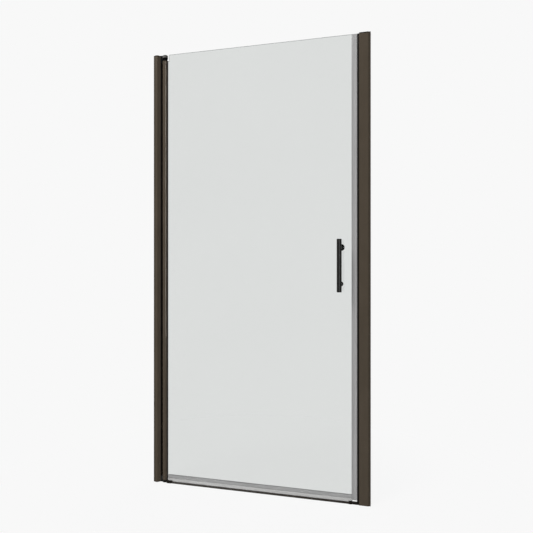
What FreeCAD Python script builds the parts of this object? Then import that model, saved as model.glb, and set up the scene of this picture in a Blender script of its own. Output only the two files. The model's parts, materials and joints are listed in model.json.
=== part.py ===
import FreeCAD
import Part
import os
from math import cos, hypot, radians, sin, tan

# A pivot shower door for an alcove, in millimetres. X runs along the doorway from the hinge side to
# the strike side, -Y is the outside, where the handle is, and +Z is up. The origin is on the floor
# under the glass, halfway along the doorway.

# Overall size
door_width = 914.4
door_height = 1828.8

# Wall channels: U profiles with the web on the wall
channel_reveal = 7.5
channel_wall = 2.0
channel_tip_gap = 1.3
wall_hole_radius = 2.6
inner_hole_reach = 250.0
outer_hole_reach = 750.0

# Jambs: profiles that slide over the channels
jamb_depth = 30.0
jamb_wall = 2.0
jamb_corner = 1.2
slide_gap = 0.4
edge_round = 0.5
hinge_front = 10.0
hinge_slope = 11.2
nose_width = 10.0
strike_width = 36.0
cap_thickness = 4.0
cap_chamfer = 0.6
cap_plug = 10.0
plug_gap = 0.5

# Screws that lock the jambs to the channels, on the shower side, under caps
lock_screw_count = 3
lock_screw_inset = 260.0
lock_screw_radius = 1.9
lock_screw_tail = 1.2
screw_hole_gap = 0.15
screw_head_radius = 3.0
screw_head_height = 2.0
screw_cap_wall = 0.9
screw_cap_gap = 0.05

# Pivot stile: a round tube that tapers into two jaws, with a lined glazing pocket between them
stile_radius = 11.2
stile_gap = 8.0
jaw_slope = radians(50)
jaw_lip = 0.6
pocket_wall = 1.8
lining_side = 2.0
lining_floor = 1.0
bead_cover = 5.0
bead_lip = 0.8

# Gasket between jamb and stile, held by its foot in a groove of the nose
groove_lip = 1.6
groove_fit = 0.2
stem_width = 2.6
bulb_width = 5.2
bulb_gap = 0.4
bulb_hole_radius = 1.2
gasket_foot_width = 6.0
gasket_foot = 1.4

# Pivot pins, bushes and blocks
pin_radius = 3.0
pin_fit = 0.02
upper_pin_grip = 11.0
lower_pin_grip = 7.0
pin_reach = 17.0
pin_end_gap = 0.5
running_fit = 0.05
bush_wall = 2.2
bush_fit = 0.05
bush_length = 20.0
bush_flange_radius = 9.0
upper_flange = 10.5
lower_flange = 1.2
thrust_gap = 0.3
lift_gap = 0.5
block_radius = 11.0
block_chamfer = 1.2
upper_block_height = 14.0
lower_base_height = 7.0
boss_radius = 7.5
boss_height = 1.5
foot_gap = 2.4
foot_length = 18.0
foot_screw_inset = 7.0
neck_screw_inset = 5.5
block_screw_radius = 1.75
block_screw_reach = 3.6

# Glass panel, notched at its upper hinge corner
glass_thickness = 6.0
glass_floor_gap = 22.0
glass_proud = 1.5
glass_corner = 2.5
glass_arris = 0.6
notch_gap = 2.8
notch_cover = 1.5

# Strike seal on the glass edge and the magnet carrier on the jamb
seal_wall = 1.2
seal_grip = 15.6
seal_nose = 4.5
seal_lift = 6.0
seal_top_gap = 1.0
magnet_width = 6.0
magnet_thickness = 2.0
magnet_fit = 0.1
magnet_gap = 1.0
carrier_depth = 8.7
carrier_floor_gap = 0.5
carrier_width = 11.0
carrier_stem_width = 6.0
carrier_foot_width = 12.0
carrier_foot = 1.6
carrier_skin = 0.8

# Sweep under the glass
sweep_grip = 10.8
sweep_floor = 1.4
sweep_butt_gap = 0.3
fin_root = 1.6
fin_tip = 0.9
fin_lean = -1.0
fin_gap = 0.5
fin_end_gap = 1.0

# Threshold bar and its end clips
threshold_depth = 25.0
threshold_edge = 2.2
threshold_crest = 4.0
glue_groove_width = 4.5
glue_groove_depth = 1.0
glue_groove_offset = 5.0
clip_wall = 2.0
clip_roof = 3.0
clip_fit = 0.2
clip_stop = 3.0
left_collar = 19.0
right_collar = 12.0
right_clip_lead = 11.0
tongue_drop = 0.8
clip_end_gap = 1.0

# Pull handle outside, knob and cap nut inside
handle_backset = 58.4
handle_height = 927.0
handle_standoff = 48.7
post_spacing = 144.0
bar_overhang = 30.5
bar_radius = 9.5
bar_chamfer = 1.0
post_radius = 7.0
saddle_fit = 0.02
glass_hole_radius = 6.0
sleeve_fit = 0.1
stud_radius = 3.0
stud_fit = 0.05
stud_in_post = 14.0
stud_inside = 4.0
washer_radius = 8.0
washer_thickness = 1.0
knob_radius = 13.5
knob_head = 15.0
knob_bevel = 2.5
knob_neck_radius = 7.0
knob_neck = 9.0
cap_nut_radius = 9.5
cap_nut_height = 12.0
cap_nut_bevel = 2.4

# Places along the doorway, from the hinge wall to the strike wall
hinge_wall = -door_width / 2
hinge_back = hinge_wall + channel_reveal
shoulder = hinge_back + hinge_front
channel_tip = shoulder - channel_tip_gap
lock_screw_place = (hinge_back + channel_tip) / 2
nose_face = shoulder + hinge_slope
nose_groove = nose_face - groove_lip - gasket_foot - groove_fit
nose_inside = nose_groove - jamb_wall
pivot = nose_face + stile_gap + stile_radius
bush_radius = pin_radius + running_fit + bush_wall
bore_radius = bush_radius + bush_fit
pocket_floor = pivot + bore_radius + pocket_wall
glass_hinge_edge = pocket_floor + lining_floor
strike_wall = door_width / 2
strike_back = strike_wall - channel_reveal
strike_face = strike_back - strike_width
strike_groove = strike_face + groove_lip + carrier_foot + groove_fit
strike_inside = strike_groove + jamb_wall
carrier_face = strike_face - carrier_depth
seal_face = carrier_face - magnet_gap
glass_strike_edge = seal_face - seal_nose
seal_start = glass_strike_edge - seal_grip
handle_place = glass_strike_edge - handle_backset

# Half depths, front to back
glass_half = glass_thickness / 2
pocket_half = glass_half + lining_side
jaw_half = pocket_half + jaw_lip
seal_half = glass_half + seal_wall
jamb_half = jamb_depth / 2
nose_half = nose_width / 2
channel_half = jamb_half - jamb_wall - slide_gap
threshold_half = threshold_depth / 2
clip_half = threshold_half + clip_wall
clip_crest = threshold_crest + clip_roof

# Taper of the stile: its faces leave the tube at a tangent and end at the lips of the jaws
taper_start = pivot + stile_radius * sin(jaw_slope)
taper_half = stile_radius * cos(jaw_slope)
jaw_end = taper_start + (taper_half - jaw_half) / tan(jaw_slope)
bead_end = jaw_end + bead_cover
notch_edge = bead_end + notch_gap
sweep_start = bead_end + sweep_butt_gap

# Heights above the floor
jamb_top = door_height - cap_thickness
block_bottom = door_height - upper_block_height
stile_top = block_bottom - lift_gap - upper_flange
boss_top = lower_base_height + boss_height
stile_bottom = boss_top + thrust_gap + lower_flange
glass_bottom = glass_floor_gap
glass_top = door_height + glass_proud
seal_bottom = clip_crest + seal_lift
seal_top = glass_top - seal_top_gap
carrier_bottom = threshold_crest - tongue_drop + carrier_floor_gap
lower_foot_top = lower_base_height + foot_length
upper_foot_bottom = block_bottom - foot_length
lower_post = handle_height - post_spacing / 2
upper_post = handle_height + post_spacing / 2

# Places of the threshold's clips and of the ends of the deep part of the fin
left_clip = pivot + block_radius + clip_end_gap
left_collar_end = left_clip + left_collar
right_clip = seal_start - right_clip_lead
right_collar_end = right_clip + right_collar
fin_start = pivot + hypot(left_collar_end - pivot, clip_half) + fin_end_gap
fin_end = right_clip - fin_end_gap


def point(x, y, z):
    return FreeCAD.Vector(x, y, z)


def section(corners):
    """Flat face in XY from corners (x, y) or (x, y, radius), each radius an arc in that corner."""
    places = [point(corner[0], corner[1], 0) for corner in corners]
    radii = [corner[2] if len(corner) == 3 else 0 for corner in corners]
    rounds = []
    for index, place in enumerate(places):
        back = (places[index - 1] - place).normalize()
        ahead = (places[(index + 1) % len(places)] - place).normalize()
        half_angle = back.getAngle(ahead) / 2
        reach = radii[index] / tan(half_angle)
        inward = (back + ahead).normalize()
        sagitta = radii[index] / sin(half_angle) - radii[index]
        rounds.append((place + back * reach, place + inward * sagitta, place + ahead * reach))
    edges = []
    for index, (start, middle, end) in enumerate(rounds):
        if radii[index] > 0:
            edges.append(Part.Arc(start, middle, end).toShape())
        following = rounds[(index + 1) % len(rounds)][0]
        if end.distanceToPoint(following) > 1e-6:
            edges.append(Part.LineSegment(end, following).toShape())
    return Part.Face(Part.Wire(edges))


def upright(face, bottom, top):
    """Prism of a section drawn in X and Y."""
    return face.translated(point(0, 0, bottom)).extrude(point(0, 0, top - bottom))


def rail(face, start, end):
    """Prism along the doorway of a section drawn in Y and Z."""
    turned_face = face.rotated(point(0, 0, 0), point(1, 1, 1), 120)
    return turned_face.translated(point(start, 0, 0)).extrude(point(end - start, 0, 0))


def block(low, high):
    size = point(*high) - point(*low)
    return Part.makeBox(size.x, size.y, size.z, point(*low))


def cylinder(radius, start, end):
    way = point(*end) - point(*start)
    return Part.makeCylinder(radius, way.Length, point(*start), way)


def turned(corners, axis, place):
    """Solid of revolution of a section drawn in XY, about X or Y, set down at a place."""
    solid = section(corners).revolve(point(0, 0, 0), axis, 360)
    return solid.translated(point(*place))


def one_solid(first, *others):
    return first.fuse(list(others)).removeSplitter()


def mirrored(shape):
    """The same piece on the strike side."""
    return shape.mirror(point(0, 0, 0), point(1, 0, 0))


def lock_screw_heights():
    span = door_height - 2 * lock_screw_inset
    return [lock_screw_inset + span * step / (lock_screw_count - 1) for step in range(lock_screw_count)]


def lock_screw_holes():
    """Drills through the flange of a jamb and the leg of its channel, hinge side."""
    radius = lock_screw_radius + screw_hole_gap
    place = lock_screw_place
    return [cylinder(radius, (place, 0, z), (place, jamb_depth, z)) for z in lock_screw_heights()]


def wall_channel():
    """U profile with holes for the wall screws, hinge side."""
    inner = channel_half - channel_wall
    web = hinge_wall + channel_wall
    profile = section([
        (hinge_wall, -channel_half, edge_round),
        (channel_tip, -channel_half),
        (channel_tip, -inner),
        (web, -inner, edge_round),
        (web, inner, edge_round),
        (channel_tip, inner),
        (channel_tip, channel_half),
        (hinge_wall, channel_half, edge_round),
    ])
    channel = upright(profile, 0, jamb_top)
    drills = lock_screw_holes()
    for reach in (-outer_hole_reach, -inner_hole_reach, inner_hole_reach, outer_hole_reach):
        height = door_height / 2 + reach
        drills.append(cylinder(wall_hole_radius, (hinge_wall, 0, height), (web, 0, height)))
    return channel.cut(drills)


def hinge_jamb_outline(back, corner):
    return section([
        (back, -jamb_half),
        (shoulder, -jamb_half, corner),
        (nose_face, -nose_half, corner),
        (nose_face, nose_half, corner),
        (shoulder, jamb_half, corner),
        (back, jamb_half),
    ])


def strike_jamb_outline(back, corner):
    return section([
        (back, -jamb_half),
        (back, jamb_half),
        (strike_face, jamb_half, corner),
        (strike_face, -jamb_half, corner),
    ])


def block_screw_heights():
    """Two screws in each pivot block: one in its thick end and one in its foot."""
    return (
        boss_top / 2,
        lower_foot_top - foot_screw_inset,
        upper_foot_bottom + foot_screw_inset,
        block_bottom + neck_screw_inset,
    )


def foot_groove(face, floor, stem_width, foot_width):
    """Room for a stem and a foot, from the open face of a jamb to the floor of the groove."""
    lip = face + groove_lip if floor > face else face - groove_lip
    stem_half = stem_width / 2 + groove_fit
    foot_half = foot_width / 2 + groove_fit
    return upright(section([
        (face, -stem_half),
        (lip, -stem_half),
        (lip, -foot_half),
        (floor, -foot_half),
        (floor, foot_half),
        (lip, foot_half),
        (lip, stem_half),
        (face, stem_half),
    ]), 0, jamb_top)


def hinge_jamb():
    """Hollow profile open to the wall, with a nose that is grooved for the gasket."""
    jamb = upright(hinge_jamb_outline(hinge_back, jamb_corner), 0, jamb_top)
    hollow = upright(hinge_jamb_outline(hinge_back - jamb_wall, 0).makeOffset2D(-jamb_wall), 0, jamb_top)
    hollow = hollow.common(block((hinge_wall, -jamb_half, 0), (nose_inside, jamb_half, jamb_top)))
    groove = foot_groove(nose_face, nose_groove, stem_width, gasket_foot_width)
    radius = block_screw_radius + screw_hole_gap
    drills = lock_screw_holes()
    for height in block_screw_heights():
        drills.append(cylinder(radius, (nose_inside, 0, height), (nose_face, 0, height)))
    return jamb.cut([hollow, groove] + drills)


def strike_jamb():
    """Hollow profile open to the wall, grooved along its inner face for the magnet carrier."""
    jamb = upright(strike_jamb_outline(strike_back, jamb_corner), 0, jamb_top)
    hollow = block(
        (strike_inside, jamb_wall - jamb_half, 0),
        (strike_back, jamb_half - jamb_wall, jamb_top),
    )
    groove = foot_groove(strike_face, strike_groove, carrier_stem_width, carrier_foot_width)
    return jamb.cut([hollow, groove] + [mirrored(drill) for drill in lock_screw_holes()])


def jamb_cap(jamb_outline, at_hinge):
    """Plate over the ends of a jamb and its channel, with a plug inside the channel."""
    inner = channel_half - channel_wall - plug_gap
    strip = block((hinge_wall, -channel_half, jamb_top), (channel_tip, channel_half, door_height))
    low = (hinge_wall + channel_wall + plug_gap, -inner, jamb_top - cap_plug)
    plug = block(low, (channel_tip, inner, jamb_top))
    pieces = [strip, plug] if at_hinge else [mirrored(strip), mirrored(plug)]
    cap = one_solid(upright(jamb_outline, jamb_top, door_height), *pieces)
    rim = [edge for edge in cap.Edges if edge.BoundBox.ZMin > door_height - cap_chamfer]
    return cap.makeChamfer(cap_chamfer, rim)


def footed_outline(face, foot_side, tip, half, rounding, stem_width, foot_width, foot):
    """Section of a strip that stands on a jamb: a rounded nose, a stem and a foot behind the lips."""
    lip = face + foot_side * groove_lip
    stem_half = stem_width / 2
    foot_half = foot_width / 2
    return section([
        (lip + foot_side * foot, -foot_half),
        (lip, -foot_half),
        (lip, -stem_half),
        (face, -stem_half),
        (face, -half),
        (tip, -half, rounding),
        (tip, half, rounding),
        (face, half),
        (face, stem_half),
        (lip, stem_half),
        (lip, foot_half),
        (lip + foot_side * foot, foot_half),
    ])


def hinge_gasket():
    """Hollow bulb outside the nose of the hinge jamb, between the feet of the pivot blocks."""
    tip = nose_face + stile_gap - bulb_gap
    half = bulb_width / 2
    bulb_round = half - bulb_gap
    profile = footed_outline(
        nose_face, -1, tip, half, bulb_round, stem_width, gasket_foot_width, gasket_foot
    )
    middle = (nose_face + tip) / 2
    gasket = upright(profile, lower_foot_top, upper_foot_bottom)
    hole = cylinder(bulb_hole_radius, (middle, 0, lower_foot_top), (middle, 0, upper_foot_bottom))
    return gasket.cut(hole)


def block_drills():
    radius = block_screw_radius + screw_hole_gap
    reach = nose_face + block_screw_reach + screw_hole_gap
    return [cylinder(radius, (nose_face, 0, z), (reach, 0, z)) for z in block_screw_heights()]


def pivot_foot(bottom, top):
    """Plate of a pivot block that lies on the nose of the jamb."""
    return block((nose_face, -nose_half, bottom), (pivot - stile_radius - foot_gap, nose_half, top))


def pivot_neck(bottom, top):
    return block((nose_face, -nose_half, bottom), (pivot, nose_half, top))


def upper_pivot_block():
    """Head over the stile, with a shield that closes the gap beside the flange of the bush."""
    head = cylinder(block_radius, (pivot, 0, block_bottom), (pivot, 0, door_height))
    rim = [edge for edge in head.Edges if edge.Closed and edge.CenterOfMass.z > block_bottom]
    head = head.makeChamfer(block_chamfer, rim)
    neck = pivot_neck(block_bottom, door_height)
    foot = pivot_foot(upper_foot_bottom, block_bottom)
    low = (nose_face, -nose_half, stile_top + lift_gap)
    shield = block(low, (pivot - bush_flange_radius - lift_gap, nose_half, block_bottom))
    radius = pin_radius + pin_fit
    socket = cylinder(radius, (pivot, 0, block_bottom), (pivot, 0, block_bottom + upper_pin_grip))
    return one_solid(head, neck, foot, shield).cut([socket] + block_drills())


def lower_pivot_block():
    """Base on the floor with a boss that carries the weight of the door."""
    base = cylinder(block_radius, (pivot, 0, 0), (pivot, 0, lower_base_height))
    neck = pivot_neck(0, boss_top)
    foot = pivot_foot(lower_base_height, lower_foot_top)
    boss = cylinder(boss_radius, (pivot, 0, lower_base_height), (pivot, 0, boss_top))
    radius = pin_radius + pin_fit
    socket = cylinder(radius, (pivot, 0, boss_top - lower_pin_grip), (pivot, 0, boss_top))
    return one_solid(base, neck, foot, boss).cut([socket] + block_drills())


def upper_pivot_pin():
    top = block_bottom + upper_pin_grip
    return cylinder(pin_radius, (pivot, 0, stile_top - pin_reach), (pivot, 0, top))


def lower_pivot_pin():
    bottom = boss_top - lower_pin_grip
    return cylinder(pin_radius, (pivot, 0, bottom), (pivot, 0, stile_bottom + pin_reach))


def pivot_block_screws():
    """Screws from inside the nose of the jamb into the pivot blocks."""
    profile = [
        (nose_inside - screw_head_height, 0),
        (nose_inside - screw_head_height, screw_head_radius),
        (nose_inside, screw_head_radius),
        (nose_inside, block_screw_radius),
        (nose_face + block_screw_reach, block_screw_radius),
        (nose_face + block_screw_reach, 0),
    ]
    return [turned(profile, point(1, 0, 0), (0, 0, z)) for z in block_screw_heights()]


def lock_screws():
    """Pan head screws through the shower side of the hinge jamb."""
    tip = channel_half - channel_wall - lock_screw_tail
    head = jamb_half + screw_head_height
    profile = [
        (0, tip),
        (lock_screw_radius, tip),
        (lock_screw_radius, jamb_half),
        (screw_head_radius, jamb_half),
        (screw_head_radius, head),
        (0, head),
    ]
    place = lock_screw_place
    return [turned(profile, point(0, 1, 0), (place, 0, z)) for z in lock_screw_heights()]


def lock_screw_caps():
    """Cups pressed over the heads of the lock screws."""
    inner = screw_head_radius + screw_cap_gap
    outer = inner + screw_cap_wall
    ceiling = jamb_half + screw_head_height + screw_cap_gap
    profile = [
        (inner, jamb_half),
        (outer, jamb_half),
        (outer, ceiling + screw_cap_wall),
        (0, ceiling + screw_cap_wall),
        (0, ceiling),
        (inner, ceiling),
    ]
    place = lock_screw_place
    return [turned(profile, point(0, 1, 0), (place, 0, z)) for z in lock_screw_heights()]


def magnet_carrier():
    """Dark strip on the strike jamb with a magnet behind its face. Its foot ends under the jamb's cap."""
    profile = footed_outline(
        strike_face, 1, carrier_face, carrier_width / 2, edge_round,
        carrier_stem_width, carrier_foot_width, carrier_foot
    )
    pocket = magnet_pocket(carrier_face + carrier_skin, carrier_bottom, jamb_top)
    low = (strike_face, -carrier_foot_width, jamb_top)
    under_cap = block(low, (strike_groove, carrier_foot_width, door_height))
    return upright(profile, carrier_bottom, door_height).cut([pocket, under_cap])


def magnet_pocket(start, bottom, top):
    half = magnet_width / 2 + magnet_fit
    return block((start, -half, bottom), (start + magnet_thickness + magnet_fit, half, top))


def magnet_strip(start, bottom, top):
    """Flexible magnet, as long as its pocket."""
    half = magnet_width / 2
    return block((start, -half, bottom), (start + magnet_thickness, half, top))


def threshold_outline(half, edge, crest):
    """Flat foot and crowned top, drawn in Y and Z."""
    floor = Part.makePolygon([
        point(-half, edge, 0),
        point(-half, 0, 0),
        point(half, 0, 0),
        point(half, edge, 0),
    ])
    crown = Part.Arc(point(half, edge, 0), point(0, crest, 0), point(-half, edge, 0)).toShape()
    return Part.Face(Part.Wire(floor.Edges + [crown]))


def threshold():
    """Crowned bar with two glue grooves underneath."""
    start = left_clip + clip_stop
    end = right_collar_end - clip_stop
    bar = rail(threshold_outline(threshold_half, threshold_edge, threshold_crest), start, end)
    grooves = []
    for side in (-1, 1):
        middle = side * glue_groove_offset
        low = (start, middle - glue_groove_width / 2, 0)
        grooves.append(block(low, (end, middle + glue_groove_width / 2, glue_groove_depth)))
    return bar.cut(grooves)


def clip_outline():
    return threshold_outline(clip_half, threshold_edge + clip_roof, clip_crest)


def clip_pocket(start, end):
    edge = threshold_edge + clip_fit
    crest = threshold_crest + clip_fit
    return rail(threshold_outline(threshold_half + clip_fit, edge, crest), start, end)


def threshold_end_left():
    """Collar over the end of the bar, beside the lower pivot block."""
    collar = rail(clip_outline(), left_clip, left_collar_end)
    return collar.cut(clip_pocket(left_clip + clip_stop, left_collar_end))


def threshold_end_right():
    """Collar with a low tongue that runs under the strike seal to the jamb."""
    crest = threshold_crest - tongue_drop
    edge = threshold_edge - tongue_drop
    tongue = rail(threshold_outline(threshold_half, edge, crest), right_collar_end, strike_face)
    collar = rail(clip_outline(), right_clip, right_collar_end)
    return one_solid(collar, tongue).cut(clip_pocket(right_clip, right_collar_end - clip_stop))


def glass_panel():
    """Panel with its upper hinge corner notched round the pivot block and drilled for the handle."""
    high = stile_top - notch_cover
    face = section([
        (glass_hinge_edge, glass_bottom, glass_corner),
        (glass_strike_edge, glass_bottom, glass_corner),
        (glass_strike_edge, glass_top, glass_corner),
        (notch_edge, glass_top, glass_corner),
        (notch_edge, high, notch_gap),
        (glass_hinge_edge, high),
    ])
    upright_face = face.rotated(point(0, 0, 0), point(1, 0, 0), 90)
    pane = upright_face.translated(point(0, glass_half, 0)).extrude(point(0, -glass_thickness, 0))
    rims = [edge for edge in pane.Edges if edge.BoundBox.YLength < glass_half]
    pane = pane.makeChamfer(glass_arris, rims)
    holes = []
    for height in (lower_post, upper_post):
        start = (handle_place, -glass_half, height)
        holes.append(cylinder(glass_hole_radius, start, (handle_place, glass_half, height)))
    return pane.cut(holes)


def pivot_stile():
    """Tube round the pivot that tapers into two jaws for the lined edge of the glass."""
    taper = upright(section([
        (pivot, -taper_half),
        (taper_start, -taper_half),
        (jaw_end, -jaw_half),
        (jaw_end, jaw_half),
        (taper_start, taper_half),
        (pivot, taper_half),
    ]), stile_bottom, stile_top)
    tube = cylinder(stile_radius, (pivot, 0, stile_bottom), (pivot, 0, stile_top))
    bore = cylinder(bore_radius, (pivot, 0, stile_bottom), (pivot, 0, stile_top))
    pocket = block((pocket_floor, -pocket_half, stile_bottom), (bead_end, pocket_half, stile_top))
    return one_solid(tube, taper).cut([bore, pocket])


def stile_gasket():
    """U lining between the glass and the jaws, with a bead on the outside of the glass."""
    profile = section([
        (pocket_floor, -pocket_half),
        (jaw_end, -pocket_half),
        (bead_end, -glass_half - bead_lip),
        (bead_end, -glass_half),
        (glass_hinge_edge, -glass_half),
        (glass_hinge_edge, glass_half),
        (jaw_end, glass_half),
        (jaw_end, pocket_half),
        (pocket_floor, pocket_half),
    ])
    return upright(profile, stile_bottom, stile_top)


def stile_bush(mouth, inward, flange):
    """Flanged bush in the end of the stile's bore, open towards the pivot block."""
    end = mouth + inward * bush_length
    body = cylinder(bush_radius, (pivot, 0, mouth), (pivot, 0, end))
    collar = cylinder(bush_flange_radius, (pivot, 0, mouth - inward * flange), (pivot, 0, mouth))
    floor = mouth + inward * (pin_reach + pin_end_gap)
    hole = cylinder(pin_radius + running_fit, (pivot, 0, mouth - inward * flange), (pivot, 0, floor))
    return one_solid(body, collar).cut(hole)


def strike_seal():
    """Clip-on profile with two legs on the glass and a hollow nose for a magnet."""
    profile = section([
        (seal_start, -seal_half),
        (seal_face, -seal_half, edge_round),
        (seal_face, seal_half, edge_round),
        (seal_start, seal_half),
        (seal_start, glass_half),
        (glass_strike_edge, glass_half),
        (glass_strike_edge, -glass_half),
        (seal_start, -glass_half),
    ])
    pocket = magnet_pocket(glass_strike_edge + seal_wall, seal_bottom, seal_top)
    return upright(profile, seal_bottom, seal_top).cut(pocket)


def bottom_sweep():
    """Clip-on profile under the glass with a leaning fin, cut shorter over the threshold's end clips."""
    floor = glass_bottom - sweep_floor
    top = glass_bottom + sweep_grip
    clip = section([
        (-seal_half, floor, edge_round),
        (seal_half, floor, edge_round),
        (seal_half, top),
        (glass_half, top),
        (glass_half, glass_bottom),
        (-glass_half, glass_bottom),
        (-glass_half, top),
        (-seal_half, top),
    ])
    tip = threshold_crest + fin_gap
    fin = section([
        (-fin_root / 2, floor),
        (fin_lean - fin_tip / 2, tip),
        (fin_lean + fin_tip / 2, tip),
        (fin_root / 2, floor),
    ])
    end = seal_start - sweep_butt_gap
    over_clip = clip_crest + fin_gap
    left_cut = block((sweep_start, -seal_half, tip), (fin_start, seal_half, over_clip))
    right_cut = block((fin_end, -seal_half, tip), (end, seal_half, over_clip))
    fin_strip = rail(fin, sweep_start, end).cut([left_cut, right_cut])
    return one_solid(rail(clip, sweep_start, end), fin_strip)


def bar_axis(radius):
    depth = -glass_half - handle_standoff
    bottom = lower_post - bar_overhang
    return cylinder(radius, (handle_place, depth, bottom), (handle_place, depth, upper_post + bar_overhang))


def handle_bar():
    bar = bar_axis(bar_radius)
    ends = [edge for edge in bar.Edges if edge.Closed]
    return bar.makeChamfer(bar_chamfer, ends)


def handle_post(height):
    """Post from the washer on the glass to the bar, hollowed to sit on the bar."""
    seat = -glass_half - washer_thickness
    start = (handle_place, seat, height)
    post = cylinder(post_radius, start, (handle_place, -glass_half - handle_standoff, height))
    end = (handle_place, seat - stud_in_post - stud_fit, height)
    thread = cylinder(stud_radius + stud_fit, start, end)
    return post.cut([bar_axis(bar_radius + saddle_fit), thread])


def ring(inner, outer, start, end, height):
    profile = [(inner, start), (outer, start), (outer, end), (inner, end)]
    return turned(profile, point(0, 1, 0), (handle_place, 0, height))


def handle_gaskets():
    """Clear washers on both faces of the glass at both posts."""
    inner = stud_radius + sleeve_fit
    washers = []
    for height in (lower_post, upper_post):
        for face in (-glass_half - washer_thickness, glass_half):
            washers.append(ring(inner, washer_radius, face, face + washer_thickness, height))
    return washers


def glass_sleeves():
    inner = stud_radius + sleeve_fit
    outer = glass_hole_radius - sleeve_fit
    return [ring(inner, outer, -glass_half, glass_half, z) for z in (lower_post, upper_post)]


def handle_studs():
    start = -glass_half - washer_thickness - stud_in_post
    end = glass_half + washer_thickness + stud_inside
    studs = []
    for height in (lower_post, upper_post):
        studs.append(cylinder(stud_radius, (handle_place, start, height), (handle_place, end, height)))
    return studs


def inside_nut(outline, height):
    """Turned nut on the shower side with a blind hole for the stud, outline from the washer on."""
    seat = glass_half + washer_thickness
    hole = stud_radius + stud_fit
    floor = seat + stud_inside + stud_fit
    rim = [(radius, seat + reach) for radius, reach in outline]
    profile = [(hole, seat)] + rim + [(0, rim[-1][1]), (0, floor), (hole, floor)]
    return turned(profile, point(0, 1, 0), (handle_place, 0, height))


def inside_knob():
    """Knob behind the upper post, to pull the door shut from inside."""
    return inside_nut([
        (knob_neck_radius, 0),
        (knob_neck_radius, knob_neck),
        (knob_radius, knob_neck),
        (knob_radius, knob_neck + knob_head - knob_bevel),
        (knob_radius - knob_bevel, knob_neck + knob_head),
    ], upper_post)


def inside_cap():
    """Cap nut behind the lower post."""
    return inside_nut([
        (cap_nut_radius, 0),
        (cap_nut_radius, cap_nut_height - cap_nut_bevel),
        (cap_nut_radius - cap_nut_bevel, cap_nut_height),
    ], lower_post)


def save(node, *solids):
    shape = solids[0] if len(solids) == 1 else Part.makeCompound(list(solids))
    shape.exportStep("parts/" + node + ".step")


os.makedirs("parts", exist_ok=True)

save("hinge_wall_channel", wall_channel())
save("hinge_jamb", hinge_jamb())
save("hinge_jamb_cap", jamb_cap(hinge_jamb_outline(hinge_back, jamb_corner), True))
save("hinge_gasket", hinge_gasket())
save("upper_pivot_block", upper_pivot_block())
save("lower_pivot_block", lower_pivot_block())
save("upper_pivot_pin", upper_pivot_pin())
save("lower_pivot_pin", lower_pivot_pin())
save("pivot_block_screws", *pivot_block_screws())
save("hinge_jamb_screws", *lock_screws())
save("hinge_screw_caps", *lock_screw_caps())
save("strike_wall_channel", mirrored(wall_channel()))
save("strike_jamb", strike_jamb())
save("strike_jamb_cap", jamb_cap(strike_jamb_outline(strike_back, jamb_corner), False))
save("strike_magnet_carrier", magnet_carrier())
save("strike_magnet", magnet_strip(carrier_face + carrier_skin, carrier_bottom, jamb_top))
save("strike_jamb_screws", *[mirrored(screw) for screw in lock_screws()])
save("strike_screw_caps", *[mirrored(cap) for cap in lock_screw_caps()])
save("threshold", threshold())
save("threshold_end_left", threshold_end_left())
save("threshold_end_right", threshold_end_right())

save("glass_panel", glass_panel())
save("pivot_stile", pivot_stile())
save("stile_gasket", stile_gasket())
save("upper_stile_bush", stile_bush(stile_top, -1, upper_flange))
save("lower_stile_bush", stile_bush(stile_bottom, 1, lower_flange))
save("strike_seal", strike_seal())
save("door_magnet", magnet_strip(glass_strike_edge + seal_wall, seal_bottom, seal_top))
save("bottom_sweep", bottom_sweep())
save("handle_bar", handle_bar())
save("upper_handle_post", handle_post(upper_post))
save("lower_handle_post", handle_post(lower_post))
save("handle_studs", *handle_studs())
save("glass_sleeves", *glass_sleeves())
save("handle_gaskets", *handle_gaskets())
save("inside_knob", inside_knob())
save("inside_cap", inside_cap())
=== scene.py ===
import json
from math import radians, sin, tau

import bmesh
import bpy
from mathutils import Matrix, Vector


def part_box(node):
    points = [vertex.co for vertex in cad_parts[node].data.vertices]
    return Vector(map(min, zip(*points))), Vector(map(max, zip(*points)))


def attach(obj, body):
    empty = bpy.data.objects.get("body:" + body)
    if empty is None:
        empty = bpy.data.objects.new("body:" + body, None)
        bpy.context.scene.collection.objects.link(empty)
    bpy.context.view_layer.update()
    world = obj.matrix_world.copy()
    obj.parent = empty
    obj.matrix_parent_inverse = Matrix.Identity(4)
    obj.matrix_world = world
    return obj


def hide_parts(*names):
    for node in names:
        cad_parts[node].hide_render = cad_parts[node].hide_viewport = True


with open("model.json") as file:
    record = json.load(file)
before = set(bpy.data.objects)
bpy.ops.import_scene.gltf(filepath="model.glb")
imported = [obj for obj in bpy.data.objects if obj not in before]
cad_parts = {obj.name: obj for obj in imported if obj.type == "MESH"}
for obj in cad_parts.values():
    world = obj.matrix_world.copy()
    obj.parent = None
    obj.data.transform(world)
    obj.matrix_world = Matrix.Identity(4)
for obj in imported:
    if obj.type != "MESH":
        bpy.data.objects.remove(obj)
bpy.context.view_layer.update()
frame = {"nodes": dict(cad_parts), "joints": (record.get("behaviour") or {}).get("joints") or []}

nodes = frame["nodes"]

# Wall channels and jambs: aluminium extrusions with a satin dark bronze coat and faint die lines along
# them. The channels are screwed to the walls, and the jambs slide over them. The channels' bronze is
# painted a shade darker, as painted shade where they stand back behind the jambs.


def new_finish(name, specular=0.5, metallic=0.0, roughness=0.5, transmission=0.0, ior=1.5):
    """Material with the values that are the same all over its surface."""
    material = bpy.data.materials.new(name)
    material.use_nodes = True
    shader = material.node_tree.nodes["Principled BSDF"]
    shader.inputs["Specular IOR Level"].default_value = specular
    shader.inputs["Metallic"].default_value = metallic
    shader.inputs["Roughness"].default_value = roughness
    shader.inputs["Transmission Weight"].default_value = transmission
    shader.inputs["IOR"].default_value = ior
    return material


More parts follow.
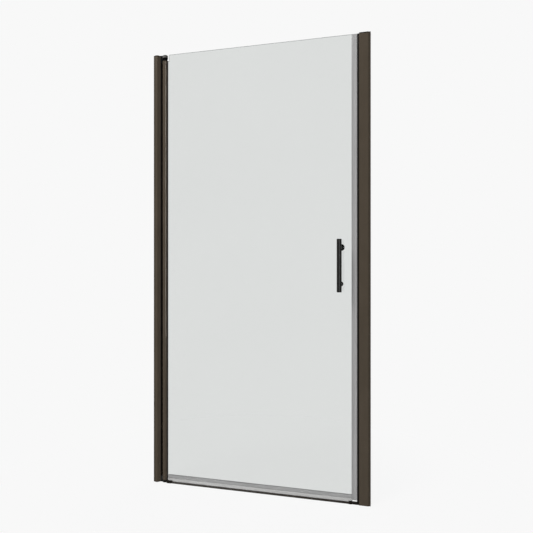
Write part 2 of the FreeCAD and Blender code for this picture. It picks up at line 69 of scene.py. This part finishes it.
def grain(material, scale, detail, stretch=(1.0, 1.0, 1.0)):
    """Noise on the piece, drawn out along an axis whose stretch is small."""
    tree = material.node_tree
    place = tree.nodes.new("ShaderNodeTexCoord")
    along = tree.nodes.new("ShaderNodeMapping")
    along.inputs["Scale"].default_value = stretch
    tree.links.new(place.outputs["Object"], along.inputs["Vector"])
    noise = tree.nodes.new("ShaderNodeTexNoise")
    noise.inputs["Scale"].default_value = scale
    noise.inputs["Detail"].default_value = detail
    tree.links.new(along.outputs["Vector"], noise.inputs["Vector"])
    return noise.outputs["Fac"]


def tint(material, source, dark, light):
    """Colour that goes from dark to light as the source rises."""
    tree = material.node_tree
    tone = tree.nodes.new("ShaderNodeValToRGB")
    tone.color_ramp.elements[0].color = (*dark, 1.0)
    tone.color_ramp.elements[1].color = (*light, 1.0)
    tree.links.new(source, tone.inputs["Fac"])
    tree.links.new(tone.outputs["Color"], tree.nodes["Principled BSDF"].inputs["Base Color"])
    return tone


def gloss(material, source, start, end):
    """Roughness that goes from start to end as the source rises."""
    tree = material.node_tree
    spread = tree.nodes.new("ShaderNodeMapRange")
    spread.inputs["To Min"].default_value = start
    spread.inputs["To Max"].default_value = end
    tree.links.new(source, spread.inputs["Value"])
    tree.links.new(spread.outputs["Result"], tree.nodes["Principled BSDF"].inputs["Roughness"])


def relief(material, source, strength, depth):
    """Fine bumps that follow the source."""
    tree = material.node_tree
    bump = tree.nodes.new("ShaderNodeBump")
    bump.inputs["Strength"].default_value = strength
    bump.inputs["Distance"].default_value = depth
    tree.links.new(source, bump.inputs["Height"])
    tree.links.new(bump.outputs["Normal"], tree.nodes["Principled BSDF"].inputs["Normal"])


def shade(material, name, dark, light):
    """The same finish in another tone."""
    other = material.copy()
    other.name = name
    tone = other.node_tree.nodes["Color Ramp"]
    tone.color_ramp.elements[0].color = (*dark, 1.0)
    tone.color_ramp.elements[1].color = (*light, 1.0)
    return other


def dress(material, *names):
    """Gives a finish to pieces that keep their own shape."""
    for name in names:
        nodes[name].material_slots[0].material = material


bronze = new_finish("bronze_aluminium", specular=0.12, metallic=0.1)
die_lines = grain(bronze, scale=1400.0, detail=3.0, stretch=(1.0, 1.0, 0.004))
clouds = grain(bronze, scale=9.0, detail=4.0)
line_share = 0.5
both = bronze.node_tree.nodes.new("ShaderNodeMath")
both.operation = "MULTIPLY_ADD"
both.inputs[1].default_value = line_share
bronze.node_tree.links.new(die_lines, both.inputs[0])
bronze.node_tree.links.new(clouds, both.inputs[2])
coat = tint(bronze, both.outputs["Value"], dark=(0.049, 0.038, 0.0262), light=(0.062, 0.0485, 0.0348))
coat.color_ramp.elements[0].position = 0.45
gloss(bronze, die_lines, start=0.14, end=0.22)
relief(bronze, die_lines, strength=0.08, depth=0.0004)
# Painted shade: the channels get a darker copy of the jambs' bronze.
channel_bronze_painted_shade = shade(bronze, "channel_bronze_painted_shade", dark=(0.034, 0.027, 0.019), light=(0.043, 0.034, 0.0245))
dress(bronze, "hinge_jamb", "strike_jamb")
dress(channel_bronze_painted_shade, "hinge_wall_channel", "strike_wall_channel")

# Jamb caps: dark moulded plastic pushed into the tops of the jambs. The screw caps, the strip that holds
# the strike magnet and the clips at the ends of the threshold are of the same plastic.
dark_plastic = new_finish("dark_plastic", specular=0.05)
moulded = grain(dark_plastic, scale=1100.0, detail=2.0)
tint(dark_plastic, moulded, dark=(0.004, 0.003, 0.0025), light=(0.010, 0.008, 0.006))
gloss(dark_plastic, moulded, start=0.45, end=0.62)
relief(dark_plastic, moulded, strength=0.12, depth=0.0003)
dress(dark_plastic, "hinge_jamb_cap", "strike_jamb_cap")

# Screws that lock the jambs to the channels, and the caps over their heads on the shower side. The
# screws are stainless steel. The caps are moulded domes that snap over the heads.


def turn(shape, middle, corners, steps, closed=False):
    """Form turned about an axis along Y, from corners given as reach and level from the middle."""
    ends = [shape.verts.new(middle + Vector((reach, level, 0.0))) for reach, level in corners]
    edges = [shape.edges.new(pair) for pair in zip(ends, ends[1:])]
    if closed:
        edges.append(shape.edges.new((ends[-1], ends[0])))
    bmesh.ops.spin(
        shape, geom=ends + edges, cent=middle, axis=(0.0, 1.0, 0.0), angle=tau, steps=steps, use_merge=True
    )


def close_seams(shape):
    """Joins the ends of turned forms and makes all faces point outwards."""
    bmesh.ops.remove_doubles(shape, verts=shape.verts, dist=1e-6)
    bmesh.ops.recalc_face_normals(shape, faces=shape.faces)


def sharp_edges(shape, angle):
    """Edges where two faces meet at more than the angle."""
    return [edge for edge in shape.edges if edge.calc_face_angle(0.0) > radians(angle)]


def round_off(shape, edges, offset, segments):
    """Rounds edges as far as the offset on both sides."""
    bmesh.ops.bevel(
        shape, geom=edges, offset=offset, offset_type="OFFSET", affect="EDGES",
        segments=segments, profile=0.5, material=-1
    )


def make_piece(name, shape, material, crease=180.0):
    """Object from a finished shape, with edges over the crease angle left sharp."""
    mesh = bpy.data.meshes.new(name)
    shape.to_mesh(mesh)
    shape.free()
    mesh.polygons.foreach_set("use_smooth", [True] * len(mesh.polygons))
    mesh.set_sharp_from_angle(angle=radians(crease))
    mesh.materials.append(material)
    piece = bpy.data.objects.new(name, mesh)
    bpy.context.collection.objects.link(piece)
    return piece


stainless = new_finish("stainless_steel", metallic=1.0)
lathe_marks = grain(stainless, scale=2600.0, detail=2.0)
tint(stainless, lathe_marks, dark=(0.42, 0.42, 0.41), light=(0.58, 0.58, 0.57))
gloss(stainless, lathe_marks, start=0.22, end=0.38)
dress(stainless, "hinge_jamb_screws", "strike_jamb_screws")
cap_wall = 0.0009
cap_crown = 0.96
cap_rounding = 0.6
near = 0.0001
for name in ("hinge_screw_caps", "strike_screw_caps"):
    low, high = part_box(name)
    radius = (high.x - low.x) / 2
    rise = high.y - low.y
    corners = [(0.0, rise), (radius, rise * cap_crown), (radius, 0.0)]
    corners += [(radius - cap_wall, 0.0), (radius - cap_wall, rise - cap_wall), (0.0, rise - cap_wall)]
    shape = bmesh.new()
    for height in (low.z + radius, (low.z + high.z) / 2, high.z - radius):
        turn(shape, Vector(((low.x + high.x) / 2, low.y, height)), corners, steps=40)
    close_seams(shape)
    rim_level = low.y + rise * cap_crown - near
    rims = [edge for edge in sharp_edges(shape, angle=45.0) if edge.verts[0].co.y > rim_level]
    round_off(shape, rims, offset=rise * cap_rounding, segments=6)
    domes = make_piece(name + "_domes", shape, dark_plastic)
    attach(domes, "frame")
    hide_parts(name)

# Pivot blocks with their pins and screws. The blocks are cast, powder coated in matte black and screwed
# to the nose of the hinge jamb. The round head of the upper one is dark grey. Its arm and a band under the
# head are painted near black, darker than the coat, as painted shade in the gap by the jamb and under the
# head. The steel pins are pressed into the blocks and carry the door.


def part_way(tree, source, start, end):
    """Share that grows from nought to one as the source goes from the start to the end."""
    span = tree.nodes.new("ShaderNodeMapRange")
    span.inputs["From Min"].default_value = start
    span.inputs["From Max"].default_value = end
    tree.links.new(source, span.inputs["Value"])
    return span.outputs["Result"]


def position(tree, axis):
    """Place on the piece along one axis."""
    place = tree.nodes.new("ShaderNodeTexCoord")
    spot = tree.nodes.new("ShaderNodeSeparateXYZ")
    tree.links.new(place.outputs["Object"], spot.inputs["Vector"])
    return spot.outputs[axis]


def distance(tree, source):
    """How far the source's place is from the origin."""
    reach = tree.nodes.new("ShaderNodeVectorMath")
    reach.operation = "LENGTH"
    tree.links.new(source, reach.inputs[0])
    return reach.outputs["Value"]


black = new_finish("black_metal", specular=0.07)
powder = grain(black, scale=900.0, detail=3.0)
tint(black, powder, dark=(0.009, 0.009, 0.0085), light=(0.016, 0.016, 0.015))
gloss(black, powder, start=0.26, end=0.36)
relief(black, powder, strength=0.1, depth=0.0003)
low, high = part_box("upper_pivot_block")
pivot = frame["joints"][0]["pos_m"][0]
head_edge = high.x - pivot + near
grey_height = 0.0105
band_top = high.z - grey_height
blur = 0.0005
# Painted shade: outside the round head and below the band top, the block is painted near black.
head_grey_painted_shade = shade(black, "head_grey_painted_shade", dark=(0.0015, 0.0015, 0.0014), light=(0.100, 0.097, 0.092))
tree = head_grey_painted_shade.node_tree
tree.nodes["Principled BSDF"].inputs["Specular IOR Level"].default_value = 0.02
place = tree.nodes.new("ShaderNodeTexCoord")
about = tree.nodes.new("ShaderNodeMapping")
about.inputs["Location"].default_value = (-pivot, 0.0, 0.0)
about.inputs["Scale"].default_value = (1.0, 1.0, 0.0)
tree.links.new(place.outputs["Object"], about.inputs["Vector"])
from_pivot = distance(tree, about.outputs["Vector"])
in_round = part_way(tree, from_pivot, start=head_edge + blur, end=head_edge)
over_band = part_way(tree, position(tree, "Z"), start=band_top - 2.0 * blur, end=band_top)
on_head = tree.nodes.new("ShaderNodeMath")
on_head.operation = "MINIMUM"
tree.links.new(in_round, on_head.inputs[0])
tree.links.new(over_band, on_head.inputs[1])
tree.links.new(on_head.outputs["Value"], tree.nodes["Color Ramp"].inputs["Fac"])
dress(head_grey_painted_shade, "upper_pivot_block")
dress(black, "lower_pivot_block")
dress(stainless, "upper_pivot_pin", "lower_pivot_pin", "pivot_block_screws")

# Hinge gasket: a soft black bulb that fills the gap between the hinge jamb and the stile. Its foot is
# held in the groove of the jamb's nose, and the bulb wanders a little along its length.


def mirrored(half):
    """Closed outline from the half of it on one side of the middle."""
    return half + [(along, -off) for along, off in reversed(half)]


def draw_out(shape, faces, way):
    """Closed form between the faces and their copies at the end of the way."""
    drawn = bmesh.ops.extrude_face_region(shape, geom=faces, use_keep_orig=True)["geom"]
    far_end = [part for part in drawn if isinstance(part, bmesh.types.BMVert)]
    bmesh.ops.translate(shape, verts=far_end, vec=way)
    bmesh.ops.recalc_face_normals(shape, faces=shape.faces)


def edges_over(shape, length):
    """The long edges of a drawn form, which run the way that it was drawn."""
    return [edge for edge in shape.edges if edge.calc_length() > length]


def wave(place, height, rate, start=0.0):
    """Sideways shift of a soft piece at a place along it."""
    return height * sin(rate * place + start)


rubber = new_finish("black_rubber", specular=0.02)
bloom = grain(rubber, scale=260.0, detail=4.0)
tint(rubber, bloom, dark=(0.0015, 0.0012, 0.001), light=(0.004, 0.0032, 0.003))
gloss(rubber, bloom, start=0.6, end=0.8)
low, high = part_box("hinge_gasket")
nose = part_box("hinge_jamb")[1].x
lip_wall = 0.0016
lip = nose - lip_wall
stem = 0.0013
bulb = 0.0026
half = [(high.x, bulb), (nose, bulb), (nose, stem), (lip, stem), (lip, high.y), (low.x, high.y)]
shape = bmesh.new()
section = shape.faces.new([shape.verts.new((x, y, low.z)) for x, y in mirrored(half)])
draw_out(shape, [section], (0.0, 0.0, high.z - low.z))
bulb_edges = [edge for edge in edges_over(shape, length=0.1) if edge.verts[0].co.x > nose + near]
round_off(shape, bulb_edges, offset=0.0023, segments=7)
bmesh.ops.subdivide_edges(shape, edges=edges_over(shape, length=0.1), cuts=60, use_grid_fill=False)
for vert in shape.verts:
    if vert.co.x > nose + near:
        vert.co.y += wave(vert.co.z, height=0.00012, rate=17.0)
        vert.co.y += wave(vert.co.z, height=0.00008, rate=46.0, start=1.0)
bulb_gasket = make_piece("bulb_gasket", shape, rubber, crease=40.0)
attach(bulb_gasket, "frame")
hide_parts("hinge_gasket")

# Magnet strip on the strike jamb: a dark plastic profile with a foot in the jamb's groove. A flexible
# magnet lies behind its face, and its partner lies in the seal on the glass.
magnet = new_finish("magnet_rubber", roughness=0.7)
filler = grain(magnet, scale=1800.0, detail=2.0)
tint(magnet, filler, dark=(0.020, 0.018, 0.018), light=(0.038, 0.034, 0.034))
dress(dark_plastic, "strike_magnet_carrier")
dress(magnet, "strike_magnet", "door_magnet")

# Threshold: a low crowned bronze bar on the tray under the door, bedded in sealant. Its bronze is a darker
# copy of the jambs' bronze, as painted shade where it lies under the door. A dark plastic clip covers each
# of its ends.
# Painted shade: the threshold's bronze is painted darker than the jambs.
threshold_bronze_painted_shade = shade(bronze, "threshold_bronze_painted_shade", dark=(0.016, 0.0125, 0.009), light=(0.022, 0.0175, 0.013))
dress(threshold_bronze_painted_shade, "threshold")
dress(dark_plastic, "threshold_end_left", "threshold_end_right")

# Glass panel: clear toughened glass with ground edges. The faces are faintly grey, and the edges are
# darker and greener because the light runs a long way inside the pane.
glass = new_finish("clear_glass", specular=0.2, transmission=1.0)
unevenness = grain(glass, scale=2.2, detail=3.0)
pane_tone = tint(glass, unevenness, dark=(0.739, 0.756, 0.747), light=(0.749, 0.766, 0.757))
pane_tone.color_ramp.elements[0].position = 0.3
pane_tone.color_ramp.elements[1].position = 0.7
tree = glass.node_tree
place = tree.nodes.new("ShaderNodeTexCoord")
facing = tree.nodes.new("ShaderNodeSeparateXYZ")
tree.links.new(place.outputs["Normal"], facing.inputs["Vector"])
flat = tree.nodes.new("ShaderNodeMath")
flat.operation = "ABSOLUTE"
tree.links.new(facing.outputs["Y"], flat.inputs[0])
on_face = part_way(tree, flat.outputs["Value"], start=0.80, end=0.95)
edge_tone = tree.nodes.new("ShaderNodeMix")
edge_tone.data_type = "RGBA"
edge_tone.inputs["A"].default_value = (0.12, 0.145, 0.135, 1.0)
tree.links.new(on_face, edge_tone.inputs["Factor"])
tree.links.new(pane_tone.outputs["Color"], edge_tone.inputs["B"])
tree.links.new(edge_tone.outputs["Result"], tree.nodes["Principled BSDF"].inputs["Base Color"])
gloss(glass, on_face, start=0.35, end=0.0)
dress(glass, "glass_panel")

# Pivot stile: a bronze tube with two jaws that grip the hinge edge of the glass. Nylon bushes in its
# ends turn on the steel pins.
nylon = new_finish("black_nylon", specular=0.02)
specks = grain(nylon, scale=1500.0, detail=2.0)
tint(nylon, specks, dark=(0.0012, 0.0012, 0.0012), light=(0.003, 0.003, 0.003))
gloss(nylon, specks, start=0.5, end=0.7)
dress(bronze, "pivot_stile")
dress(nylon, "upper_stile_bush", "lower_stile_bush")

# Glazing bead: a soft dark grey lining pressed into the jaws of the stile round the edge of the glass. On
# the outside it swells into a rounded bead that seals the joint.
bead_rubber = shade(rubber, "bead_rubber", dark=(0.018, 0.017, 0.016), light=(0.030, 0.028, 0.026))
low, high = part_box("stile_gasket")
jaw_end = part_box("pivot_stile")[1].x
pane_low, pane_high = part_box("glass_panel")
pane = pane_high.y
bead_rise = 0.0016
bead = pane + bead_rise
outline = [(low.x, low.y), (jaw_end, low.y), (high.x, -bead), (high.x, -pane), (pane_low.x, -pane)]
outline += [(pane_low.x, pane), (jaw_end, pane), (jaw_end, high.y), (low.x, high.y)]
shape = bmesh.new()
section = shape.faces.new([shape.verts.new((x, y, low.z)) for x, y in outline])
draw_out(shape, [section], (0.0, 0.0, high.z - low.z))
lip_edges = [edge for edge in edges_over(shape, length=1.0) if edge.verts[0].co.x > high.x - near]
rim = [edge for edge in lip_edges if edge.verts[0].co.y < -pane - near]
round_off(shape, rim, offset=0.0014, segments=6)
glazing_bead = make_piece("glazing_bead", shape, bead_rubber, crease=40.0)
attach(glazing_bead, "door")
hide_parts("stile_gasket")

# Strike seal: a grey translucent vinyl profile pushed on the free edge of the glass. Its thin legs grip
# both faces of the pane, and its hollow nose holds a magnet.


def add_streaks(material, tone, flow, strength):
    """Lays the flow marks of drawn vinyl over its tone."""
    tree = material.node_tree
    haze = tree.nodes.new("ShaderNodeMix")
    haze.data_type = "RGBA"
    haze.blend_type = "OVERLAY"
    haze.inputs["Factor"].default_value = strength
    tree.links.new(tone.outputs["Color"], haze.inputs["A"])
    tree.links.new(flow, haze.inputs["B"])
    tree.links.new(haze.outputs["Result"], tree.nodes["Principled BSDF"].inputs["Base Color"])


def gripping_leg(edge, tip, inner, outer):
    """Places along and off the pane: from its edge along its face to a thin tip, and slanting outwards."""
    blunt = 0.0004
    thin = 0.0003
    slant = 0.0030
    way = 1.0 if tip > edge else -1.0
    return [(edge, inner), (tip - way * blunt, inner), (tip, inner + thin), (tip - way * slant, outer)]


low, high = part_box("strike_seal")
vinyl = new_finish("grey_vinyl", specular=0.25, transmission=0.15, ior=1.45)
# Painted shade and light: the seal is painted darker over the glass and lighter towards its nose.
to_nose = part_way(vinyl.node_tree, position(vinyl.node_tree, "X"), start=low.x, end=high.x)
tone = tint(vinyl, to_nose, dark=(0.245, 0.245, 0.245), light=(0.40, 0.395, 0.395))
flow = grain(vinyl, scale=420.0, detail=3.0, stretch=(1.0, 1.0, 0.01))
add_streaks(vinyl, tone, flow, strength=0.25)
gloss(vinyl, flow, start=0.22, end=0.36)
outline = mirrored(gripping_leg(pane_high.x, low.x, pane, high.y) + [(high.x, high.y)])
magnet_low, magnet_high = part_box("door_magnet")
room = 0.0001
wall = magnet_high.y + room
chamber = mirrored([(magnet_low.x - room, wall), (magnet_high.x + room, wall)])
shape = bmesh.new()
loops = []
for points in (outline, chamber):
    ends = [shape.verts.new((x, y, low.z)) for x, y in points]
    loops += [shape.edges.new(pair) for pair in zip(ends, ends[1:] + ends[:1])]
filled = bmesh.ops.triangle_fill(shape, use_beauty=True, use_dissolve=False, edges=loops)["geom"]
section = [part for part in filled if isinstance(part, bmesh.types.BMFace)]
draw_out(shape, section, (0.0, 0.0, high.z - low.z))
nose_edges = [edge for edge in edges_over(shape, length=1.0) if edge.verts[0].co.x > high.x - near]
round_off(shape, nose_edges, offset=0.0012, segments=5)
edge_seal = make_piece("edge_seal", shape, vinyl, crease=30.0)
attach(edge_seal, "door")
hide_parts("strike_seal")

# Bottom sweep: a vinyl clip on the lower edge of the glass with a soft fin that hangs over the threshold.
# The clip is painted darker over the glass, as painted shade, and the thin fin is painted lighter, as
# painted light shining through it. The fin is a little wavy.
low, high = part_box("bottom_sweep")
foot = pane_low.z
clip_wall = 0.0014
floor = foot - clip_wall
fin_share = (floor - low.z) / (high.z - low.z)
change_share = 0.06
sweep_vinyl = new_finish("sweep_vinyl", transmission=0.15, ior=1.45)
tree = sweep_vinyl.node_tree
# Painted light and shade: the tone goes from the lighter fin up to the darker clip.
upwards = part_way(tree, position(tree, "Z"), start=low.z, end=high.z)
tone = tint(sweep_vinyl, upwards, dark=(0.54, 0.54, 0.535), light=(0.30, 0.30, 0.30))
tone.color_ramp.elements.new(fin_share).color = (0.49, 0.49, 0.485, 1.0)
tone.color_ramp.elements.new(fin_share + change_share).color = (0.33, 0.33, 0.33, 1.0)
flow = grain(sweep_vinyl, scale=380.0, detail=3.0, stretch=(0.02, 1.0, 1.0))
add_streaks(sweep_vinyl, tone, flow, strength=0.3)
gloss(sweep_vinyl, flow, start=0.20, end=0.36)
outline = mirrored(gripping_leg(foot, high.z, pane, high.y) + [(floor, high.y)])
shape = bmesh.new()
section = shape.faces.new([shape.verts.new((low.x, y, z)) for z, y in outline])
draw_out(shape, [section], (high.x - low.x, 0.0, 0.0))
floor_edges = [edge for edge in edges_over(shape, length=0.5) if edge.verts[0].co.z < floor + near]
round_off(shape, floor_edges, offset=0.0008, segments=4)
sweep_clip = make_piece("sweep_clip", shape, sweep_vinyl, crease=30.0)
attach(sweep_clip, "door")
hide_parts("bottom_sweep")
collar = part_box("threshold_end_left")[1]
side_gap = 0.001
deep_start = pivot + Vector((collar.x - pivot, collar.y)).length + side_gap
deep_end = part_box("threshold_end_right")[0].x - side_gap
clip_gap = 0.0005
over_clip = collar.z + clip_gap
root = 0.0008
taper = 0.44
lean = 0.0010
columns = 180
rows = 7
corners = [(low.x, floor), (low.x, over_clip), (deep_start, over_clip), (deep_start, low.z)]
corners += [(deep_end, low.z), (deep_end, over_clip), (high.x, over_clip), (high.x, floor)]
shape = bmesh.new()
section = shape.faces.new([shape.verts.new((x, root, z)) for x, z in corners])
draw_out(shape, [section], (0.0, -2.0 * root, 0.0))
cut_x = [low.x + (high.x - low.x) * step / columns for step in range(1, columns)]
cut_z = [low.z + (floor - low.z) * step / rows for step in range(1, rows)]
cuts = [((x, 0.0, 0.0), (1.0, 0.0, 0.0)) for x in cut_x] + [((0.0, 0.0, z), (0.0, 0.0, 1.0)) for z in cut_z]
for spot, across in cuts:
    everything = shape.verts[:] + shape.edges[:] + shape.faces[:]
    bmesh.ops.bisect_plane(shape, geom=everything, dist=1e-6, plane_co=spot, plane_no=across)
for vert in shape.verts:
    drop = max(0.0, (floor - vert.co.z) / (floor - low.z))
    waves = wave(vert.co.x, height=0.00022, rate=74.0)
    waves += wave(vert.co.x, height=0.00016, rate=183.0, start=0.7)
    vert.co.y = vert.co.y * (1.0 - taper * drop) + waves * drop ** 2 - lean * drop ** 1.6
sweep_fin = make_piece("sweep_fin", shape, sweep_vinyl, crease=35.0)
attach(sweep_fin, "door")
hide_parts("bottom_sweep")

# Pull handle: a round bar on two posts, in the same black as the pivot blocks. Each post is drawn against
# the glass by a steel stud, with a soft black washer on each face and a clear sleeve in the hole.
dress(black, "handle_bar", "upper_handle_post", "lower_handle_post")
dress(stainless, "handle_studs")
clear_vinyl = new_finish("clear_vinyl", roughness=0.25, transmission=0.7, ior=1.45)
cloudy = grain(clear_vinyl, scale=600.0, detail=2.0)
tint(clear_vinyl, cloudy, dark=(0.66, 0.67, 0.66), light=(0.78, 0.79, 0.78))
dress(clear_vinyl, "glass_sleeves")
low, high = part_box("handle_gaskets")
middle_x = (low.x + high.x) / 2
radius = (high.x - low.x) / 2
stud_gap = 0.00015
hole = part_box("handle_studs")[1].x - middle_x + stud_gap
shape = bmesh.new()
for height in (low.z + radius, high.z - radius):
    for back, front in ((low.y, -pane), (pane, high.y)):
        corners = [(hole, back), (radius, back), (radius, front), (hole, front)]
        turn(shape, Vector((middle_x, 0.0, height)), corners, steps=56, closed=True)
close_seams(shape)
round_off(shape, sharp_edges(shape, angle=60.0), offset=0.0003, segments=4)
handle_washers = make_piece("handle_washers", shape, rubber)
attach(handle_washers, "door")
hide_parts("handle_gaskets")

# Inside knob and cap nut: black turned pieces on the shower ends of the studs. Both have a well rounded
# rim and a shallow dish in the face, and the knob's head stands on a slim neck.
dish_rim = 0.0050
dish_depth = 0.0008
for name, soft, neck_radius, neck in (
    ("inside_knob", 0.0030, 0.0070, 0.0090),
    ("inside_cap", 0.0034, 0.0, 0.0),
):
    low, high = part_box(name)
    radius = (high.x - low.x) / 2
    depth = high.y - low.y
    corners = [(0.0, 0.0), (neck_radius, 0.0), (neck_radius, neck)] if neck else [(0.0, 0.0)]
    corners += [(radius, neck), (radius, depth), (radius - dish_rim, depth), (0.0, depth - dish_depth)]
    shape = bmesh.new()
    turn(shape, Vector(((low.x + high.x) / 2, low.y, (low.z + high.z) / 2)), corners, steps=72)
    close_seams(shape)
    rims = sharp_edges(shape, angle=50.0)
    front_rim = [edge for edge in rims if edge.verts[0].co.y > high.y - near]
    other_rims = [edge for edge in rims if low.y + near < edge.verts[0].co.y < high.y - near]
    round_off(shape, front_rim, offset=soft, segments=7)
    round_off(shape, other_rims, offset=0.0009, segments=4)
    piece = make_piece(name + "_turned", shape, black, crease=40.0)
    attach(piece, "door")
    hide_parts(name)

# Pale studio: a floor that fades into an even background and keeps a soft shadow under the door. The
# floor and the world show the same pale grey to the camera, in reflections and through the glass.


def seen_rays(tree):
    """One for what the camera sees, directly, in a reflection or through glass, and otherwise nought."""
    rays = tree.nodes.new("ShaderNodeLightPath")
    seen = rays.outputs["Is Camera Ray"]
    for kind in ("Is Glossy Ray", "Is Transmission Ray"):
        either = tree.nodes.new("ShaderNodeMath")
        either.operation = "MAXIMUM"
        tree.links.new(seen, either.inputs[0])
        tree.links.new(rays.outputs[kind], either.inputs[1])
        seen = either.outputs["Value"]
    return seen


pale = (0.939, 0.939, 0.939, 1.0)
floor_mesh = bpy.data.meshes.new("studio_floor")
shape = bmesh.new()
bmesh.ops.create_grid(shape, x_segments=8, y_segments=8, size=40.0)
shape.to_mesh(floor_mesh)
shape.free()
studio_floor = bpy.data.objects.new("studio_floor", floor_mesh)
bpy.context.collection.objects.link(studio_floor)
paper = bpy.data.materials.new("studio_paper")
paper.use_nodes = True
tree = paper.node_tree
tree.nodes.remove(tree.nodes["Principled BSDF"])
lit = tree.nodes.new("ShaderNodeBsdfDiffuse")
lit.inputs["Color"].default_value = (0.88, 0.88, 0.88, 1.0)
shown = tree.nodes.new("ShaderNodeEmission")
shown.inputs["Color"].default_value = pale
place = tree.nodes.new("ShaderNodeTexCoord")
fade = tree.nodes.new("ShaderNodeMapRange")
fade.interpolation_type = "SMOOTHSTEP"
fade.inputs["From Min"].default_value = 0.3
fade.inputs["From Max"].default_value = 1.1
fade.inputs["To Min"].default_value = 0.96
fade.inputs["To Max"].default_value = 1.0
tree.links.new(distance(tree, place.outputs["Object"]), fade.inputs["Value"])
share = tree.nodes.new("ShaderNodeMath")
share.operation = "MULTIPLY"
tree.links.new(fade.outputs["Result"], share.inputs[0])
tree.links.new(seen_rays(tree), share.inputs[1])
mixed = tree.nodes.new("ShaderNodeMixShader")
tree.links.new(share.outputs["Value"], mixed.inputs["Fac"])
tree.links.new(lit.outputs["BSDF"], mixed.inputs[1])
tree.links.new(shown.outputs["Emission"], mixed.inputs[2])
tree.links.new(mixed.outputs["Shader"], tree.nodes["Material Output"].inputs["Surface"])
floor_mesh.materials.append(paper)
world = bpy.data.worlds.new("studio")
bpy.context.scene.world = world
world.use_nodes = True
tree = world.node_tree
ambient = tree.nodes["Background"]
ambient.inputs["Color"].default_value = (1.0, 1.0, 1.0, 1.0)
ambient.inputs["Strength"].default_value = 0.13
backdrop = tree.nodes.new("ShaderNodeBackground")
backdrop.inputs["Color"].default_value = pale
backdrop.inputs["Strength"].default_value = 1.0
mixed = tree.nodes.new("ShaderNodeMixShader")
tree.links.new(seen_rays(tree), mixed.inputs["Fac"])
tree.links.new(ambient.outputs["Background"], mixed.inputs[1])
tree.links.new(backdrop.outputs["Background"], mixed.inputs[2])
tree.links.new(mixed.outputs["Shader"], tree.nodes["World Output"].inputs["Surface"])

# Studio light: a large soft lamp at the upper left in front of the door lights everything, and a weaker
# one behind the door fills the shower side without a mirror image. A tall narrow lamp at the right only
# draws the highlights on the stile and the handle.
door_middle = (0.0, 0.0, 0.9)
hinge_side = (-0.4, 0.0, 1.2)
shiny = ("pivot_stile", "handle_bar")
for name, spot, aim, width, height, power, lights, shines, pieces in (
    ("key_lamp", (-3.6, -6.0, 7.4), door_middle, 4.0, 4.0, 1080.0, True, True, ()),
    ("fill_lamp", (2.2, 5.6, 1.2), door_middle, 4.0, 2.0, 350.0, True, False, ()),
    ("edge_lamp", (1.68, -2.7, 1.6), hinge_side, 0.3, 3.0, 160.0, False, True, shiny),
):
    lamp = bpy.data.lights.new(name, "AREA")
    lamp.shape = "RECTANGLE"
    lamp.size = width
    lamp.size_y = height
    lamp.energy = power
    lamp_object = bpy.data.objects.new(name, lamp)
    lamp_object.location = spot
    lamp_object.rotation_euler = (Vector(aim) - Vector(spot)).to_track_quat("-Z", "Y").to_euler()
    lamp_object.visible_camera = False
    lamp_object.visible_transmission = False
    lamp_object.visible_diffuse = lights
    lamp_object.visible_glossy = shines
    if pieces:
        lit_pieces = bpy.data.collections.new(name + "_pieces")
        lamp_object.light_linking.receiver_collection = lit_pieces
        for node in pieces:
            lit_pieces.objects.link(nodes[node])
    bpy.context.collection.objects.link(lamp_object)

# Camera: it stands outside the door and to its right, at about half its height. It looks level, turned a
# little to the left.
camera = bpy.data.cameras.new("camera")
camera.lens = 34.705
camera.sensor_width = 36.0
camera_object = bpy.data.objects.new("camera", camera)
camera_object.location = (0.5692, -2.0269, 0.9235)
camera_object.rotation_euler = (radians(90.0), 0.0, radians(14.635))
bpy.context.collection.objects.link(camera_object)
bpy.context.scene.camera = camera_object
bpy.context.scene.view_settings.view_transform = "Standard"
